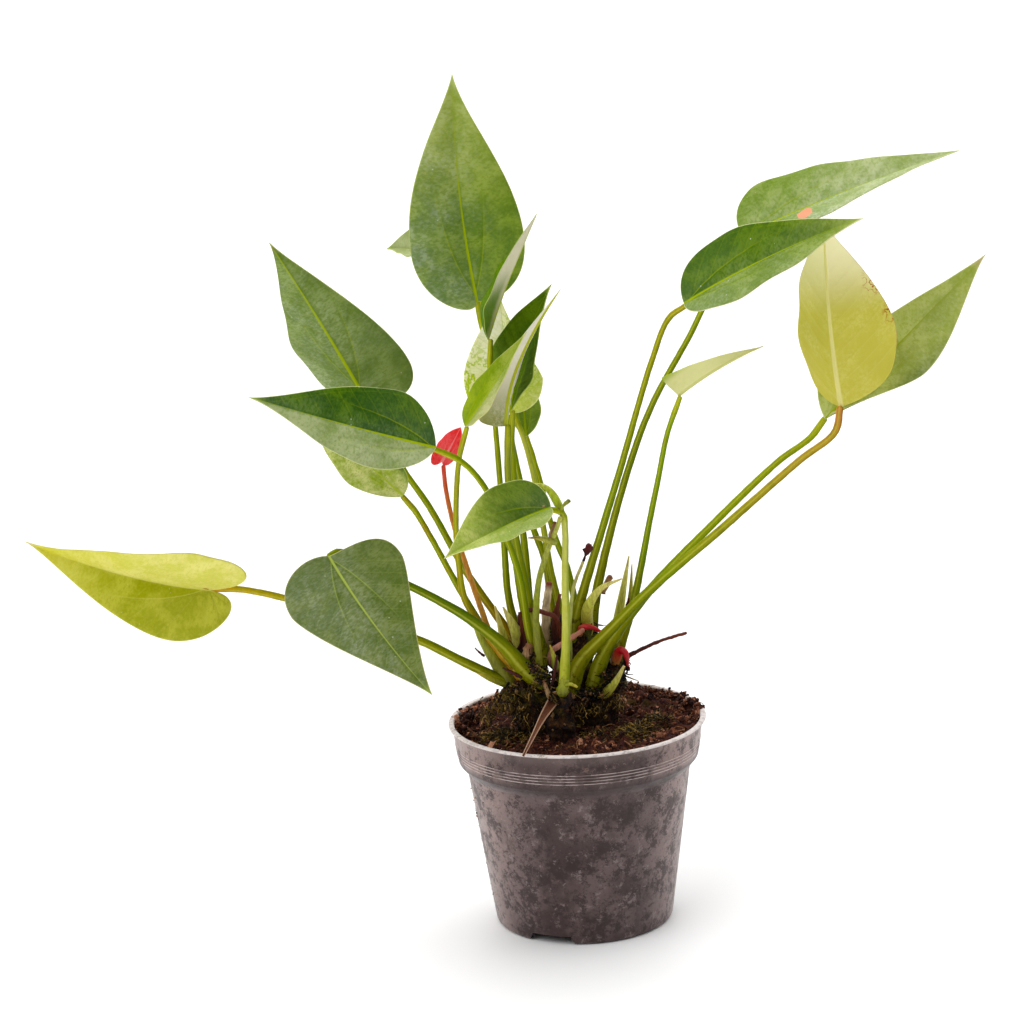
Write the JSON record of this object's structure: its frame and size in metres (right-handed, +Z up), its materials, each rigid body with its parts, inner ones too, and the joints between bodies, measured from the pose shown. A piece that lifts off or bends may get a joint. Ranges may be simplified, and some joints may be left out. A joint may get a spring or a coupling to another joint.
{
  "type": "potted flamingo flower",
  "caption": "Heart-leaved aroid plant with long stalks and a small red flower, in a plain tapered plastic pot full of soil.",
  "frame": {"origin": "middle of the pot's foot, on the surface that the pot stands on", "axes": "+Z up; +X to the right and +Y away from the viewer, in the view that the plant was modelled from"},
  "size_m": [0.4424, 0.1265, 0.3954],
  "materials": {
    "pot": "satin",
    "soil": "matte",
    "rhizome": "matte",
    "leaf_green": "satin",
    "leaf_yellow": "satin",
    "leaf_young": "satin",
    "leaf_underside": "matte",
    "stalk_green": "satin",
    "stalk_pale": "satin",
    "flower_stalk": "satin",
    "spathe": "satin",
    "dried_flower": "matte",
    "root": "matte",
    "root_pink": "matte",
    "root_tip": "satin",
    "sheath_dry": "matte",
    "sheath_green": "satin",
    "sheath_pale": "matte"
  },
  "bodies": {
    "root": {"pot": "pot", "soil": "soil", "rhizome": "rhizome", "leaf_top": "leaf_green", "stalk_top": "stalk_green", "leaf_top_rear": "leaf_green", "stalk_top_rear": "stalk_green", "leaf_left_upper": "leaf_green", "stalk_left_upper": "stalk_green", "leaf_left_middle": "leaf_green", "stalk_left_middle": "stalk_green", "leaf_left_rear": "leaf_young", "stalk_left_rear": "stalk_green", "leaf_far_left": "leaf_yellow", "stalk_far_left": "stalk_green", "leaf_hanging": "leaf_green", "stalk_hanging": "stalk_green", "leaf_right_top": "leaf_green", "stalk_right_top": "stalk_green", "leaf_right_middle": "leaf_green", "stalk_right_middle": "stalk_green", "leaf_right_yellow": "leaf_yellow", "stalk_right_yellow": "stalk_green", "leaf_far_right": "leaf_green", "stalk_far_right": "stalk_green", "leaf_front_small": "leaf_green", "stalk_front_small": "stalk_green", "leaf_folded": "leaf_green", "stalk_folded": "stalk_green", "leaf_netted": "leaf_young", "stalk_netted": "stalk_green", "leaf_dark": "leaf_green", "stalk_dark": "stalk_green", "leaf_young": "leaf_young", "stalk_young": "stalk_green", "leaf_grey": "leaf_underside", "stalk_grey": "stalk_green", "leaf_rear_lobe": "leaf_green", "stalk_rear_lobe": "stalk_green", "leaf_right_small": "leaf_young", "stalk_right_small": "stalk_green", "peduncle_red": "flower_stalk", "dry_flower_stalk": "stalk_pale", "dry_flower": "dried_flower", "bare_stalk": "stalk_green", "root_right": "root", "root_bridge": "root", "root_pink": "root_pink", "root_tip_rear": "root_tip", "root_tip_right": "root_tip", "sheath_dry": "sheath_dry", "sheath_left_outer": "sheath_green", "sheath_left_inner": "sheath_green", "sheath_right": "sheath_green", "sheath_curved": "sheath_green", "sheath_low_right": "sheath_green", "sheath_pale": "sheath_pale", "leaf_unrolling": "leaf_young", "spathe": "spathe"}
  },
  "joints": []
}
